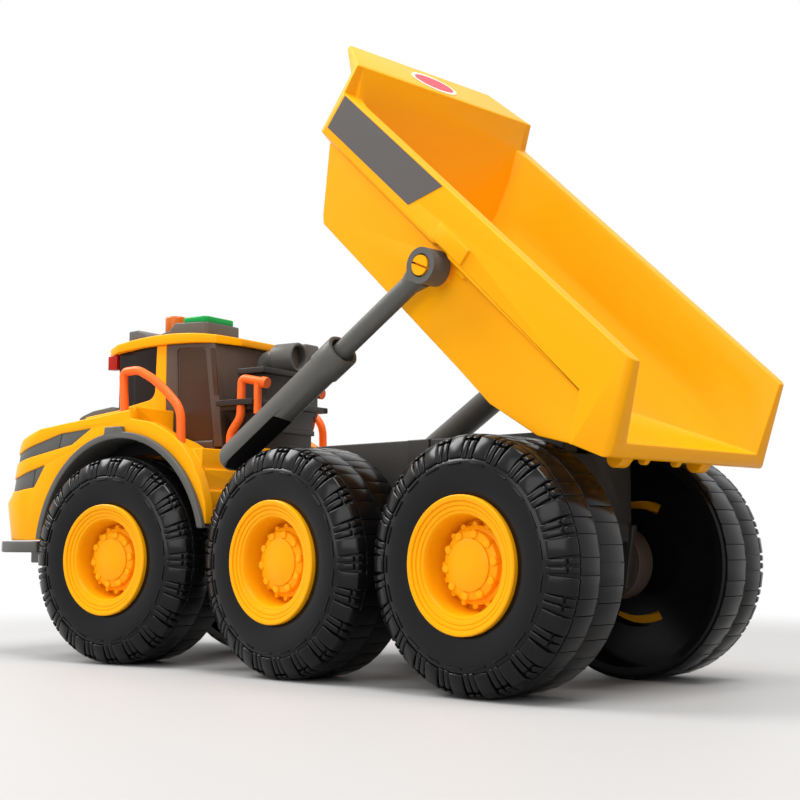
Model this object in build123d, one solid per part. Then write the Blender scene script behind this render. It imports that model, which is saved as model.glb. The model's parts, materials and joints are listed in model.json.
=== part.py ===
"""Toy articulated dump truck: six driven-look wheels, a front unit hinged to a rear unit, a tipping bed.

Units are millimetres.  X points forwards, Y to the left, Z up.  The origin of the working frame is on the
ground below the rear axle; the whole model is moved to its own reference point just before it is written.
The bed is stored tipped and the front unit is stored turned, so both are modelled straight and level first.
"""
import os
from math import atan2, cos, degrees, hypot, radians, sin, tan

from build123d import *

# ---------------------------------------------------------------- driving dimensions
# wheels
TYRE_RADIUS = 35.0
TREAD_WIDTH = 22.0
TREAD_INNER_Y = 25.4          # inner edge of the tread, from the centre plane
RIM_RADIUS = 18.6
RIM_LIP_Y = 51.1              # outer face of the rim lip
RIM_OPENING = 13.2
RIM_STEP = 0.5                # fine steps moulded round the rim lip
HUB_RADIUS = 10.0
HUB_BORE_WALL = 2.4
WEB_DEPTH = 6.6               # from the tread's inner edge to the disc that closes the tyre's back
TREAD_BLOCKS = 42             # flat blocks round the tread, with a shoulder lug on every second one
LUG_HEIGHT = 0.9
SLOT_INNER = 16.2             # two arc slots in the disc show the back of the rim
SLOT_OUTER = 19.6
SLOT_SPAN = 56.0              # degrees
SPINDLE_RADIUS = 2.0
SPIN_GAP = 0.05               # radial running clearance of a wheel on its spindle
TYRE_WALL = 2.6

# wheel stations
MID_AXLE_X = 74.7
FRONT_AXLE_X = 164.5
PIVOT_X = 140.3               # upright steering pin
STEER_REST = 10.5             # the front unit is parked turned to the left, degrees

# the model's own reference point, below the middle of its bounding box
ORIGIN_X = 94.8
ORIGIN_Y = 3.93

# bed, sizes with the bed level
HINGE_X = -5.0
HINGE_Z = 73.0
TIP_REST = 42.25              # degrees
RAIL_Z = 111.4
RAIL_FRONT_X = 105.0
RAIL_REAR_X = -27.5
RAIL_HALF_FRONT = 44.0
RAIL_HALF_REAR = 39.4
PANEL_HALF = 36.4             # lower side panel, set in to pass between the hoist cylinders
BED_WALL = 4.4
BED_FLOOR = 2.8
BED_BOTTOM_Z = 73.3
BAND_HEIGHT = 14.0
HEAD_HEIGHT = 8.6             # the headboard's lip above the side rails
HEAD_LEAN = 26.5              # headboard from upright, degrees
LIP_REACH = 16.5              # canopy lip forward of the headboard's crease
CREASE_HALF = 37.5
LIP_HALF = 33.5
FLOOR_HALF = 24.0
KNEE_HALF_REAR = 32.5
KNEE_HALF_FRONT = 34.4
KNEE_Z = 91.0                 # crease where the sloping lower side meets the upright one

# hoist
CYL_Y = 42.3                  # cylinder axis, from the centre plane
CYL_FOOT_X = 101.5
CYL_FOOT_Z = 68.2
BARREL_RADIUS = 4.8
BARREL_LENGTH = 57.3
BARREL_FLAT = 3.1             # from the axis to the flat on the barrel's underside
BARREL_FLAT_TURN = 13.0       # degrees by which the flat looks outwards
ROD_RADIUS = 2.9
EYE_RADIUS = 5.2
EYE_WIDTH = 7.0
EYE_SWING = 1.7               # radial room left round the eye under the rail band
EYE_SINK = 1.4                # depth of the ring-shaped gap round the pin's head
PIN_RADIUS = 2.9
PIN_TIPPED_X = 18.2           # hoist eye with the bed tipped
PIN_TIPPED_Z = 118.1

# rear frame
FRAME_REAR_X = -9.0
FRAME_TOP_Z = 72.0
FRAME_BOTTOM_Z = 52.0
FRAME_HALF = 16.5
FRAME_WALL = 2.2
TONGUE_TOP_Z = 63.0
TONGUE_BOTTOM_Z = 50.5
PIVOT_RADIUS = 4.0
AXLE_RADIUS = 6.0
HINGE_PIN_RADIUS = 1.5
FOOT_PIN_RADIUS = 2.2
FOOT_PIN_END = 2.5            # how far the foot pin reaches into the barrel's foot, past its middle

# front unit
BODY_HALF = 43.0
ARCH_HALF_LENGTH = 37.2       # wheel arch opening, an ellipse about the front axle
ARCH_HEIGHT = 41.2
FLARE_LINING = 1.0
FLARE_BAND = 2.3
FLARE_HALF = 45.0
FLARE_INNER = 31.0
FLARE_FRONT_Z = 41.9
FLARE_REAR_Z = 45.5
FENDER_INNER = 38.8
POCKET_FRONT_X = 161.0
CAB_HALF = 20.0
CAB_REAR_X = 139.0
CAB_FRONT_X = 188.5
CAB_FLOOR_Z = 73.0
BASE_Z = 70.5                 # underside of the plate that sits on the front frame
CAB_TOP_Z = 111.0
CAB_WALL = 2.0
DOOR_DEPTH = 0.8
PILLAR_X = 165.5
PILLAR_WIDTH = 5.0
DECK_HALF = 15.5
DECK_FRONT_X = 134.0
DECK_REAR_X = 123.6
DECK_TOP_Z = 101.0
WALKWAY_Z = 89.6
BUMPER_TOP_Z = 41.2
BUMPER_LOW_Z = 37.2
NOSE_FRAME_X = 206.0
NOSE_X = 231.0
FENDER_REAR_X = 126.3
ROOF_REAR_X = 137.4
ROOF_FRONT_X = 196.0
MODULE_TOP_Z = 121.2
MODULE_HALF = 10.0
RAIL_TUBE = 1.5
CLEARANCE = 0.3

parts = {}


# ---------------------------------------------------------------- helpers
def side_slab(points, half):
    """Side outline, points of (x, z), made as wide as half to each side of the centre plane."""
    return extrude(Plane.XZ * make_face(Polyline(*points, close=True)), amount=half, both=True)


def plan_slab(points, low, high):
    """Plan outline, points of (x, y), standing from low to high."""
    return Pos(0, 0, low) * extrude(make_face(Polyline(*points, close=True)), amount=high - low)


def block(x0, x1, y0, y1, z0, z1):
    return Pos((x0 + x1) / 2, (y0 + y1) / 2, (z0 + z1) / 2) * Box(abs(x1 - x0), abs(y1 - y0), abs(z1 - z0))


def bar_y(x, z, radius, y0, y1):
    """Round bar along Y."""
    return Pos(x, (y0 + y1) / 2, z) * Rot(90, 0, 0) * Cylinder(radius, abs(y1 - y0))


def turned_about_y(points):
    """Ring or disc about the Y axis from a profile of (radius, y)."""
    return revolve(make_face(Polyline(*points, close=True)), Axis.Y)


def mirrored(shape):
    return mirror(shape, about=Plane.XZ)


def tipped(shape):
    """From the level bed to the stored, tipped one."""
    return Pos(HINGE_X, 0, HINGE_Z) * Rot(0, -TIP_REST, 0) * Pos(-HINGE_X, 0, -HINGE_Z) * shape


def steered(shape):
    """From the straight front unit to the stored, turned one."""
    return Pos(PIVOT_X, 0, 0) * Rot(0, 0, STEER_REST) * Pos(-PIVOT_X, 0, 0) * shape


# ---------------------------------------------------------------- wheels
def ring_section(sides, apothem, y):
    """Regular polygon round the Y axis whose flats lie at the given distance from it."""
    plane = Plane(origin=(0, y, 0), x_dir=(1, 0, 0), z_dir=(0, 1, 0))
    return plane * RegularPolygon(apothem, sides, major_radius=False)


def prism_y(sides, apothem, y0, y1):
    return loft([ring_section(sides, apothem, y0), ring_section(sides, apothem, y1)], ruled=True)


def spun(shape, degrees_about_axle):
    return Rot(0, degrees_about_axle, 0) * shape


def tyre():
    """Tyre on the left side: flat tread blocks, shoulder lugs, and a slotted disc that closes its back."""
    inner = TREAD_INNER_Y
    outer = TREAD_INNER_Y + TREAD_WIDTH
    web = inner + WEB_DEPTH
    sidewall = RIM_LIP_Y - 0.9
    tiers = [  # (apothem, y) from the tread's inner edge to the sidewall
        (TYRE_RADIUS - 1.0, inner),
        (TYRE_RADIUS, inner + 0.8),
        (TYRE_RADIUS, outer - 1.6),
        (TYRE_RADIUS - 3.6, outer + 0.6),
        (RIM_RADIUS + 8.2, sidewall),
    ]
    body = loft([ring_section(TREAD_BLOCKS, r, y) for r, y in tiers], ruled=True)
    body -= prism_y(24, TYRE_RADIUS - TYRE_WALL - 1.0, inner - 1, web)
    body -= prism_y(24, RIM_RADIUS + SPIN_GAP, web + TYRE_WALL, RIM_LIP_Y)
    body -= prism_y(12, SPINDLE_RADIUS + HUB_BORE_WALL + SPIN_GAP, inner, RIM_LIP_Y)
    lug = [  # (radius, y) of a shoulder lug's outline
        (TYRE_RADIUS - 0.2, outer - 2.6),
        (TYRE_RADIUS, outer - 0.9),
        (TYRE_RADIUS - 2.6, outer + 0.3 + LUG_HEIGHT),
        (RIM_RADIUS + 9.8, sidewall),
        (RIM_RADIUS + 8.8, sidewall - 1.2),
        (TYRE_RADIUS - 4.6, outer - 1.6),
    ]
    pitch = 360 / TREAD_BLOCKS
    half_width = TYRE_RADIUS * sin(radians(pitch / 2)) * 0.86
    block_form = extrude(Plane.XY * make_face(Polyline(*lug, close=True)), amount=half_width, both=True)
    body += [spun(block_form, pitch * (2 * i + 0.5)) for i in range(TREAD_BLOCKS // 2)]
    slots = [spun(arc_slot(web), angle) for angle in (90, 270)]
    return body - slots


def arc_slot(y):
    """Slot cut through the tyre's disc: a stretch of a ring, centred on +X."""
    turns = [radians(SLOT_SPAN * (i / 3 - 0.5)) for i in range(4)]
    outline = [(SLOT_OUTER * cos(t), SLOT_OUTER * sin(t)) for t in turns]
    outline += [(SLOT_INNER * cos(t), SLOT_INNER * sin(t)) for t in reversed(turns)]
    plane = Plane(origin=(0, y - 1, 0), x_dir=(1, 0, 0), z_dir=(0, 1, 0))
    return extrude(plane * make_face(Polyline(*outline, close=True)), amount=TYRE_WALL + 2)


def rim():
    """Dished rim on the left side, with a stepped lip, a hub cap and a hollow back."""
    web = TREAD_INNER_Y + WEB_DEPTH
    seat = web + TYRE_WALL
    floor = RIM_LIP_Y - 5.5
    bore = SPINDLE_RADIUS + SPIN_GAP
    stub = SPINDLE_RADIUS + HUB_BORE_WALL
    dish = [  # (radius, y)
        (bore, web),
        (bore, floor),
        (0.0, floor),
        (0.0, RIM_LIP_Y - 2.0),
        (HUB_RADIUS - 2.0, RIM_LIP_Y - 2.0),
        (HUB_RADIUS - 1.6, RIM_LIP_Y - 2.6),
        (HUB_RADIUS - 0.4, RIM_LIP_Y - 3.0),
        (HUB_RADIUS, floor),
        (RIM_OPENING - 1.6, floor),
        (RIM_OPENING, RIM_LIP_Y - 1.6),
        (RIM_OPENING + 1.2, RIM_LIP_Y - 0.4 - RIM_STEP),
        (RIM_OPENING + 1.2, RIM_LIP_Y - 0.4),
        (RIM_OPENING + 2.4, RIM_LIP_Y - 0.4),
        (RIM_OPENING + 2.6, RIM_LIP_Y),
        (RIM_RADIUS, RIM_LIP_Y),
        (RIM_RADIUS, seat),
        (SLOT_INNER - 0.4, seat),
        (SLOT_INNER - 0.4, floor - 3.0),
        (stub, floor - 3.0),
        (stub, web),
    ]
    return turned_about_y(dish)


def place_wheels():
    tyre_left = tyre()
    rim_left = rim()
    stations = {"rear": 0.0, "mid": MID_AXLE_X, "front": FRONT_AXLE_X}
    for name, x in stations.items():
        for side in ("l", "r"):
            for kind, shape in (("tyre", tyre_left), ("rim", rim_left)):
                made = shape if side == "l" else mirrored(shape)
                made = Pos(x, 0, TYRE_RADIUS) * made
                parts[f"{kind}_{name}_{side}"] = steered(made) if name == "front" else made


# ---------------------------------------------------------------- axles
def axle(x, drum_radius, drum_end):
    """Cross tube with a brake drum at each end and the two spindles the wheels turn on."""
    spindle_end = RIM_LIP_Y - 5.6
    tube = bar_y(x, TYRE_RADIUS, AXLE_RADIUS, -drum_end, drum_end)
    drums = bar_y(x, TYRE_RADIUS, drum_radius, -drum_end, -drum_end + 7) + bar_y(
        x, TYRE_RADIUS, drum_radius, drum_end - 7, drum_end
    )
    spindle = bar_y(x, TYRE_RADIUS, SPINDLE_RADIUS, -spindle_end, spindle_end)
    return tube + drums + spindle


# ---------------------------------------------------------------- rear frame
def rear_frame():
    outline = [  # (x, z)
        (FRAME_REAR_X, FRAME_TOP_Z - 3),
        (FRAME_REAR_X + 2, FRAME_TOP_Z),
        (108, FRAME_TOP_Z),
        (121, TONGUE_TOP_Z),
        (PIVOT_X + 6, TONGUE_TOP_Z),
        (PIVOT_X + 6, TONGUE_BOTTOM_Z),
        (118, TONGUE_BOTTOM_Z),
        (104, FRAME_BOTTOM_Z),
        (95, 41.0),
        (FRAME_REAR_X, 41.0),
    ]
    plan = [(FRAME_REAR_X, FRAME_HALF), (88, FRAME_HALF), (121, 8.0), (PIVOT_X + 6, 6.0)]
    plan += [(x, -y) for x, y in reversed(plan)]
    frame = side_slab(outline, FRAME_HALF) & plan_slab(plan, 30, 80)
    inside = [
        (FRAME_REAR_X + FRAME_WALL, 30), (92, 30), (99, FRAME_BOTTOM_Z), (106, FRAME_TOP_Z - FRAME_WALL),
        (FRAME_REAR_X + FRAME_WALL, FRAME_TOP_Z - FRAME_WALL),
    ]
    frame -= side_slab(inside, FRAME_HALF - FRAME_WALL)
    frame -= Pos(PIVOT_X, 0, 57) * Cylinder(PIVOT_RADIUS + SPIN_GAP, 40)
    for x in (0.0, MID_AXLE_X):
        frame += hangers(x, FRAME_HALF - FRAME_WALL, FRAME_HALF)
        frame -= bar_y(x, TYRE_RADIUS, AXLE_RADIUS, -30, 30)
    frame += block(40.5, 49.5, -FRAME_HALF - 1.2, FRAME_HALF + 1.2, FRAME_TOP_Z - 9.0, FRAME_TOP_Z)
    channel_half = FRAME_HALF - FRAME_WALL
    frame -= block(38.0, 52.0, -channel_half, channel_half, 40.0, FRAME_TOP_Z - FRAME_WALL)
    ear = bar_y(HINGE_X, HINGE_Z, 3.2, 9.0, 14.0)
    ear += block(HINGE_X - 3.2, HINGE_X + 4.0, 9.0, 14.3, FRAME_TOP_Z - 8, FRAME_TOP_Z)
    ear += block(HINGE_X - 3.2, HINGE_X + 3.2, 9.0, 14.0, FRAME_TOP_Z - 2, HINGE_Z)
    ear -= bar_y(HINGE_X, HINGE_Z, HINGE_PIN_RADIUS + SPIN_GAP, 5, 20)
    window = block(FRAME_REAR_X - 1, HINGE_X + 4.0, 3.6, 14.3, FRAME_TOP_Z - 6, FRAME_TOP_Z + 1)
    frame -= window + mirrored(window)
    frame += ear + mirrored(ear)
    foot = bar_y(CYL_FOOT_X, CYL_FOOT_Z, FOOT_PIN_RADIUS, 8.0, CYL_Y + FOOT_PIN_END)
    frame += foot + mirrored(foot)
    return frame


def hangers(x, inner, outer):
    """Pair of plates that hold an axle tube under a frame."""
    plate = side_slab([(x - 11, 46), (x + 11, 46), (x + 8, 27.5), (x - 8, 27.5)], outer)
    return plate - side_slab([(x - 20, 60), (x + 20, 60), (x + 20, 0), (x - 20, 0)], inner)


# ---------------------------------------------------------------- bed
def beyond(a, b, c):
    """Block that fills the space past the plane through three points, where their normal points."""
    a, b, c = Vector(*a), Vector(*b), Vector(*c)
    plane = Plane(origin=a, z_dir=(b - a).cross(c - a))
    return plane * Pos(0, 0, 60) * Box(300, 300, 120)


def bed():
    """Load bed, drawn level: tapering rail band, set-in panels, rising tail floor and leaning headboard."""
    lip_z = RAIL_Z + HEAD_HEIGHT
    crease_x = RAIL_FRONT_X + 2.5
    lip_x = crease_x + LIP_REACH
    band_z = RAIL_Z - BAND_HEIGHT
    tail_x = RAIL_REAR_X - 10.8
    tail_z = RAIL_Z - 23.4
    floor_z = BED_BOTTOM_Z + BED_FLOOR
    lean = tan(radians(HEAD_LEAN))
    board_x = crease_x - HEAD_HEIGHT * lean
    outline = [  # (x, z)
        (RAIL_REAR_X, RAIL_Z),
        (board_x, RAIL_Z),
        (crease_x, lip_z),
        (lip_x, lip_z + 0.4),
        (lip_x + 0.5, lip_z - 1.4),
        (RAIL_FRONT_X + 5.5, lip_z - 4.0),
        (RAIL_FRONT_X + 4.0, RAIL_Z - 6.0),
        (RAIL_FRONT_X + 2.8, band_z - 4.0),
        (RAIL_FRONT_X - 10.0, BED_BOTTOM_Z + 1.8),
        (RAIL_FRONT_X - 12.0, BED_BOTTOM_Z),
        (3.0, BED_BOTTOM_Z),
        (-16.0, BED_BOTTOM_Z + 4.2),
        (RAIL_REAR_X, tail_z - 4.2),
        (tail_x, tail_z),
    ]
    plan = [  # (x, y) of the left half
        (tail_x - 1, RAIL_HALF_REAR), (RAIL_FRONT_X, RAIL_HALF_FRONT),
        (crease_x + 2.5, CREASE_HALF + 3.0), (lip_x + 1, LIP_HALF - 0.4),
    ]
    plan += [(x, -y) for x, y in reversed(plan)]
    body = side_slab(outline, RAIL_HALF_FRONT) & plan_slab(plan, 60, lip_z + 2)
    wing = side_slab([(board_x, RAIL_Z), (RAIL_FRONT_X, RAIL_Z), (crease_x, lip_z)], 60)
    body -= wing - block(90, 120, -RAIL_HALF_FRONT + BED_WALL, RAIL_HALF_FRONT - BED_WALL, 100, 130)

    # lower side panel, set in under the rail band; the band overhangs it with a sloping underside
    post_x = RAIL_REAR_X + 8.5
    foot_x = RAIL_REAR_X + 1.1
    reach = [  # (x, z)
        (140, 50), (140, lip_z), (post_x, lip_z), (post_x, band_z), (foot_x, tail_z - 3.4), (foot_x, 50),
    ]
    over = [  # (y, z)
        (0, 50), (RAIL_HALF_FRONT + 3, 50), (RAIL_HALF_FRONT + 3, band_z + 1.6),
        (PANEL_HALF, band_z - 3.4), (0, band_z - 3.4),
    ]
    panel = [  # (x, y)
        (150, PANEL_HALF), (18, PANEL_HALF), (foot_x - 2, RAIL_HALF_REAR - 1.0), (foot_x - 2, 60), (150, 60),
    ]
    recess = side_slab(reach, 60) & plan_slab(panel, 40, 130)
    recess &= Pos(-50, 0, 0) * extrude(Plane.YZ * make_face(Polyline(*over, close=True)), amount=220)
    body -= recess + mirrored(recess)

    # load space: upright upper walls, sloping lower sides, rising tail floor, leaning headboard
    def section(x, half_top, half_knee):
        half = [(FLOOR_HALF, floor_z), (half_knee, KNEE_Z), (half_top, RAIL_Z), (half_top, 140)]
        points = half + [(-y, z) for y, z in reversed(half)]
        return Plane.YZ.offset(x) * make_face(Polyline(*points, close=True))

    inner_front = RAIL_HALF_FRONT - BED_WALL
    inner_rear = RAIL_HALF_REAR - BED_WALL
    tail_end = section(tail_x - 20, inner_rear, KNEE_HALF_REAR)
    head_end = section(RAIL_FRONT_X + 20, inner_front, KNEE_HALF_FRONT)
    cavity = loft([tail_end, head_end], ruled=True)
    space = [  # (x, z)
        (tail_x - 20, 140), (crease_x + (140 - lip_z) * lean, 140),
        (crease_x - (lip_z - floor_z) * lean, floor_z), (3.5, floor_z),
        (tail_x + 1, tail_z + 4.6), (tail_x - 20, tail_z + 10.0),
    ]
    cavity &= side_slab(space, 60)
    # triangular facet across each corner between the headboard and a side
    crease = (crease_x, CREASE_HALF, lip_z)
    rail_corner = (RAIL_FRONT_X - 7.3, inner_front - 0.4, RAIL_Z)
    foot = (crease_x - (lip_z - 95.0) * lean, CREASE_HALF - 1.0, 95.0)
    facet = beyond(foot, rail_corner, crease)
    cavity -= facet + mirrored(facet)
    body -= cavity

    # raised pad over each hoist eye, on the band's lower edge
    pin_x, pin_z = level_pin()
    pad = block(pin_x - 9.7, pin_x + 4.5, PANEL_HALF + 1.2, CYL_Y + 0.6, pin_z + 7.0, pin_z + 12.0)
    pad += block(pin_x - 9.7, pin_x - 6.2, PANEL_HALF - 0.6, PANEL_HALF + 2.0, pin_z + 3.0, pin_z + 8.0)
    eye_room = bar_y(pin_x, pin_z, EYE_RADIUS + EYE_SWING, CYL_Y - EYE_WIDTH / 2 - CLEARANCE, 60)
    body -= eye_room + mirrored(eye_room)
    boss = bar_y(pin_x, pin_z, 4.4, PANEL_HALF - 2, CYL_Y - EYE_WIDTH / 2 - CLEARANCE)
    lug = tail_lug(19.8, 2.4, 5.0)
    nub = tail_lug(8.0, 1.2, 2.4)
    for form in (pad, boss, lug, nub):
        body += form + mirrored(form)

    # hinge knuckles between the frame's ears
    knuckle = bar_y(HINGE_X, HINGE_Z, 3.2, 4.0, 8.7)
    knuckle += block(HINGE_X - 3.2, HINGE_X + 3.2, 4.0, 8.7, HINGE_Z, HINGE_Z + 4)
    knuckle += bar_y(HINGE_X, HINGE_Z, HINGE_PIN_RADIUS, 4.0, 13.8)
    ear_room = bar_y(HINGE_X, HINGE_Z, 3.6, 8.7, 14.4)
    body -= ear_room + mirrored(ear_room)
    return body + knuckle + mirrored(knuckle)


def tail_lug(y, radius, width):
    """Rounded lug under the rising tail floor."""
    x = RAIL_REAR_X - 2.4
    under = RAIL_Z - 26.6
    return bar_y(x, under - 2.6, radius, y - width / 2, y + width / 2) + block(
        x - radius, x + radius, y - width / 2, y + width / 2, under - 2.6, under + 2.0
    )


def level_pin():
    """Place of the hoist eye with the bed level."""
    dx = PIN_TIPPED_X - HINGE_X
    dz = PIN_TIPPED_Z - HINGE_Z
    angle = radians(TIP_REST)
    return HINGE_X + dx * cos(angle) + dz * sin(angle), HINGE_Z - dx * sin(angle) + dz * cos(angle)


# ---------------------------------------------------------------- hoist cylinders
def along_cylinder(shape):
    """From a cylinder drawn upwards from its foot to its place on the left side."""
    lean = degrees(atan2(CYL_FOOT_X - PIN_TIPPED_X, PIN_TIPPED_Z - CYL_FOOT_Z))
    return Pos(CYL_FOOT_X, CYL_Y, CYL_FOOT_Z) * Rot(0, -lean, 0) * shape


def barrel():
    """Hoist cylinder's barrel: collared mouth, and a flat cut along the underside of its lower half."""
    bore = ROD_RADIUS + CLEARANCE
    tube = Pos(0, 0, BARREL_LENGTH / 2) * Cylinder(BARREL_RADIUS, BARREL_LENGTH)
    collar = [  # (radius, height)
        (0, BARREL_LENGTH - 9.6), (BARREL_RADIUS, BARREL_LENGTH - 9.6),
        (BARREL_RADIUS + 0.5, BARREL_LENGTH - 9.0), (BARREL_RADIUS + 0.5, BARREL_LENGTH), (0, BARREL_LENGTH),
    ]
    tube += revolve(Plane.XZ * make_face(Polyline(*collar, close=True)), Axis.Z)
    tube += bar_y(0, 0, BARREL_RADIUS, -BARREL_RADIUS, BARREL_RADIUS)
    under = [  # (x, height)
        (-10, 1.0), (-BARREL_RADIUS, 1.0), (-BARREL_FLAT, 4.5), (-BARREL_FLAT, 25.4),
        (-BARREL_RADIUS, 27.6), (-10, 27.6),
    ]
    tube -= Rot(0, 0, -BARREL_FLAT_TURN) * side_slab(under, 10)
    tube -= Pos(0, 0, BARREL_LENGTH / 2 + 5) * Cylinder(bore, BARREL_LENGTH - 10 + 0.02)
    tube -= Pos(0, 0, BARREL_LENGTH - 1.5) * Cylinder(bore + 0.9, 3.02)
    tube -= bar_y(0, 0, FOOT_PIN_RADIUS + SPIN_GAP, -10, FOOT_PIN_END + CLEARANCE)
    return along_cylinder(tube)


def rod():
    """Rod with a flat along its top and a neck that widens into the eye."""
    reach = hoist_reach()
    tail = BARREL_LENGTH - 12.0
    shape = Pos(0, 0, (tail + reach) / 2) * Cylinder(ROD_RADIUS, reach - tail)
    shape -= block(ROD_RADIUS - 0.5, 10, -5, 5, BARREL_LENGTH - 4.0, reach - 9.0)
    neck = [  # (radius, height); it enters the barrel's mouth with the bed down
        (0, reach - 8.4), (ROD_RADIUS, reach - 8.4), (EYE_RADIUS - 1.0, reach - 3.6), (0, reach - 3.6),
    ]
    cone = revolve(Plane.XZ * make_face(Polyline(*neck, close=True)), Axis.Z)
    shape += cone & block(-10, 10, -EYE_WIDTH / 2, EYE_WIDTH / 2, 0, reach)
    shape += Pos(0, 0, reach) * Rot(90, 0, 0) * Cylinder(EYE_RADIUS, EYE_WIDTH)
    shape -= bar_y(0, reach, PIN_RADIUS, -EYE_WIDTH, EYE_WIDTH)
    shape -= bar_y(0, reach, PIN_RADIUS + 0.5, EYE_WIDTH / 2 - EYE_SINK, EYE_WIDTH)
    return along_cylinder(shape)


def hoist_reach():
    """From the cylinder's foot to its eye with the bed tipped."""
    return hypot(CYL_FOOT_X - PIN_TIPPED_X, PIN_TIPPED_Z - CYL_FOOT_Z)


def hoist_pin():
    """Snap pin in the rod's eye, its head split by a slot."""
    pin = bar_y(0, hoist_reach(), PIN_RADIUS, -EYE_WIDTH / 2, EYE_WIDTH / 2 + 0.4)
    slot = block(-PIN_RADIUS, PIN_RADIUS, EYE_WIDTH / 2 - 1.2, EYE_WIDTH, -0.3, 0.3)
    pin -= Pos(0, 0, hoist_reach()) * Rot(0, 35, 0) * slot
    return along_cylinder(pin)


# ---------------------------------------------------------------- front unit
def front_frame():
    yoke_top = TONGUE_TOP_Z + CLEARANCE
    yoke_bottom = TONGUE_BOTTOM_Z - CLEARANCE
    outline = [  # (x, z)
        (128, yoke_bottom - 3), (152, yoke_bottom - 3), (154, 40.0), (NOSE_FRAME_X, 37.2), (218, 37.2),
        (218, 41.2), (NOSE_FRAME_X, 41.2), (204, 60.0), (150, BASE_Z), (128, BASE_Z),
    ]
    frame = side_slab(outline, 14.0)
    frame -= block(120, PIVOT_X + 9, -20, 20, yoke_bottom, yoke_top)
    corner = plan_slab([(100, -20), (PIVOT_X, -20), (PIVOT_X, 20), (100, 20)], 40, 80)
    frame -= corner - Pos(PIVOT_X, 0, 57) * Cylinder(11.5, 40)
    frame += Pos(PIVOT_X, 0, 57) * Cylinder(PIVOT_RADIUS, 20)
    frame += hangers(FRONT_AXLE_X, 11.5, 14.0)
    frame -= bar_y(FRONT_AXLE_X, TYRE_RADIUS, AXLE_RADIUS, -30, 30)
    return frame


def nose_face(z, reach, inset):
    """Plan of the front unit at one height; reach moves the rounded nose forwards, inset draws it in."""
    half = BODY_HALF - inset
    tip = NOSE_X + reach - inset
    rear = FENDER_REAR_X - 6
    edges = [Line((rear, -half), (rear, half)), Line((tip, half * 0.5), (tip, -half * 0.5))]
    for side in (1, -1):
        corner = [(tip - 19.0, side * half), (tip - 5.5, side * (half - 6.2)), (tip, side * half * 0.5)]
        edges += [Line((rear, side * half), corner[0]), ThreePointArc(*corner)]
    return Plane.XY.offset(z) * make_face(edges)


def nose_body(inset=0.0):
    """The whole front unit's outer form below the bonnet line."""
    levels = [(41.5, -1.0), (55.0, 1.4), (58.2, -0.8), (78.0, -5.0), (92.0, -20.0)]
    tiers = [
        loft([nose_face(low, reach_low, inset), nose_face(high, reach_high, inset)], ruled=True)
        for (low, reach_low), (high, reach_high) in zip(levels, levels[1:])
    ]
    return tiers[0] + tiers[1:]


def body_shell():
    outline = [  # (x, z) of the bonnet line, the fender behind it and the underside
        (NOSE_X + 9, 41.5), (NOSE_X + 9, 72.0), (222.0, 75.6), (214.0, 78.6), (204.0, 81.4), (191.0, 82.9),
        (178.0, 84.2), (POCKET_FRONT_X, 86.2), (POCKET_FRONT_X - 0.6, 83.0), (155.6, 82.2), (151.5, 81.5),
        (146.5, 79.4), (141.5, 76.6), (137.0, 73.0), (132.6, 67.6), (129.0, 61.0), (126.8, 54.0),
        (FENDER_REAR_X, 46.9), (FENDER_REAR_X, 41.5),
    ]
    shell = nose_body() & side_slab(outline, BODY_HALF + 1)
    bonnet = [  # (x, z)
        (188.0, 80.0), (186.4, 83.0), (184.7, 84.8), (167.9, 86.7), (POCKET_FRONT_X, 87.4), (POCKET_FRONT_X, 80.0),
    ]
    shell += side_slab(bonnet, BODY_HALF - 3.0)
    low_rear = block(100, FRONT_AXLE_X - 10, 17.0, 60, 20, 46.9)
    shell -= low_rear + mirrored(low_rear)
    inside = [  # (x, z) of the hollow
        (120, 30), (222, 30), (226, 54), (221, 73), (200, 79), (172, 83), (152, BASE_Z), (120, BASE_Z),
    ]
    shell -= side_slab(inside, 15.0)
    # pocket beside the cab, down to the thin lining over the wheel, and the space for the steps
    pocket = block(100, POCKET_FRONT_X, CAB_HALF + 0.4, FENDER_INNER, 46, 120)
    pocket -= arch_block(FLARE_LINING + 1.4, 17.0, 60)
    low_pocket = block(100, 136.0, 12.0, FENDER_INNER, 20, 120)
    shell -= pocket + mirrored(pocket) + low_pocket + mirrored(low_pocket)
    shell -= block(100, CAB_FRONT_X, -CAB_HALF - 0.4, CAB_HALF + 0.4, CAB_FLOOR_Z, 120)
    for row in STEP_ROWS:
        step = block(row["rear_x"], 139, 14.0, FENDER_INNER, row["top"] - row["height"], row["top"])
        shell += step + mirrored(step)
    arch = arch_block(FLARE_LINING, 17.0, 60)
    shell -= arch + mirrored(arch)
    shell += block(DECK_REAR_X, 152, -17.5, 17.5, BASE_Z, CAB_FLOOR_Z)
    return shell - grille_room(0.0)


GRILLE_UPPER = [  # (x, z)
    (179.3, 80.4), (188.4, 75.1), (216.9, 69.9), (240.0, 67.2), (240.0, 70.2), (216.3, 73.2), (194.2, 79.1),
]
GRILLE_LOWER = [(201.7, 68.3), (207.0, 60.4), (216.7, 59.3), (240.0, 58.9), (240.0, 61.6), (216.3, 64.4)]
GRILLE_DEPTH = 1.2
GRILLE_INNER = 12.0           # the grilles wrap round the nose and stop short of its middle


def grille_room(above):
    """Space of the grilles on both sides, from their seat outwards to a depth below the body's surface."""
    room = side_slab(GRILLE_UPPER, 60) + side_slab(GRILLE_LOWER, 60)
    room -= block(170, 250, -GRILLE_INNER, GRILLE_INNER, 50, 90)
    room -= nose_body(GRILLE_DEPTH)
    return room & nose_body(above) if above else room


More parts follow.
